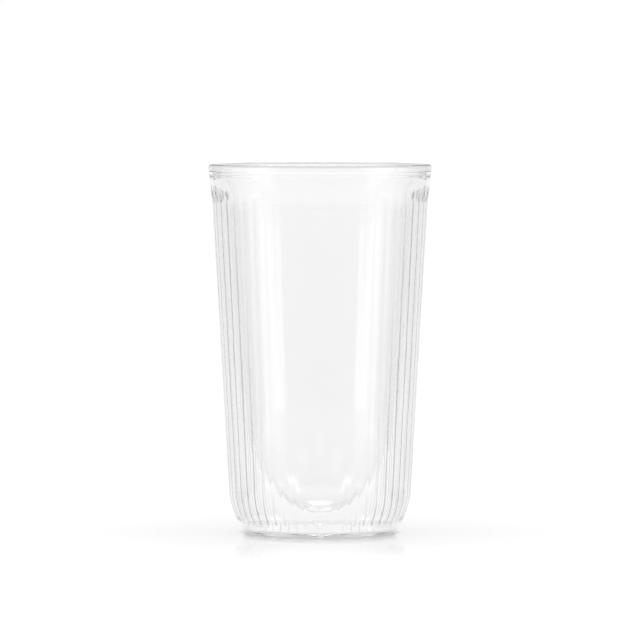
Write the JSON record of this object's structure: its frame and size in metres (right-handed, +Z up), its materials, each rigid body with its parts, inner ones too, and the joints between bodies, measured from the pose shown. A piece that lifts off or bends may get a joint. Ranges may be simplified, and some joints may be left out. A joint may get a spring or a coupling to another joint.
{
  "type": "double-wall drinking glass",
  "caption": "Tall double-wall glass for chai or latte: a fluted outer wall and a smooth inner vessel fused at a rounded rim, with a vent plug in the base.",
  "frame": {"origin": "on the table, under the centre of the foot", "axes": "+Z up, along the glass's axis; a flute's middle faces each of +X, -X, +Y and -Y"},
  "size_m": [0.0846, 0.0846, 0.14],
  "materials": {
    "outer_glass": "clear, fire-polished borosilicate glass with vertical flutes",
    "inner_glass": "clear, smooth blown borosilicate glass",
    "rim_glass": "clear, flame-rounded borosilicate glass",
    "plug_silicone": "translucent satin silicone"
  },
  "bodies": {
    "root": {"outer_wall": "outer_glass", "inner_vessel": "inner_glass", "rim_weld": "rim_glass", "vent_plug": "plug_silicone"}
  },
  "joints": []
}
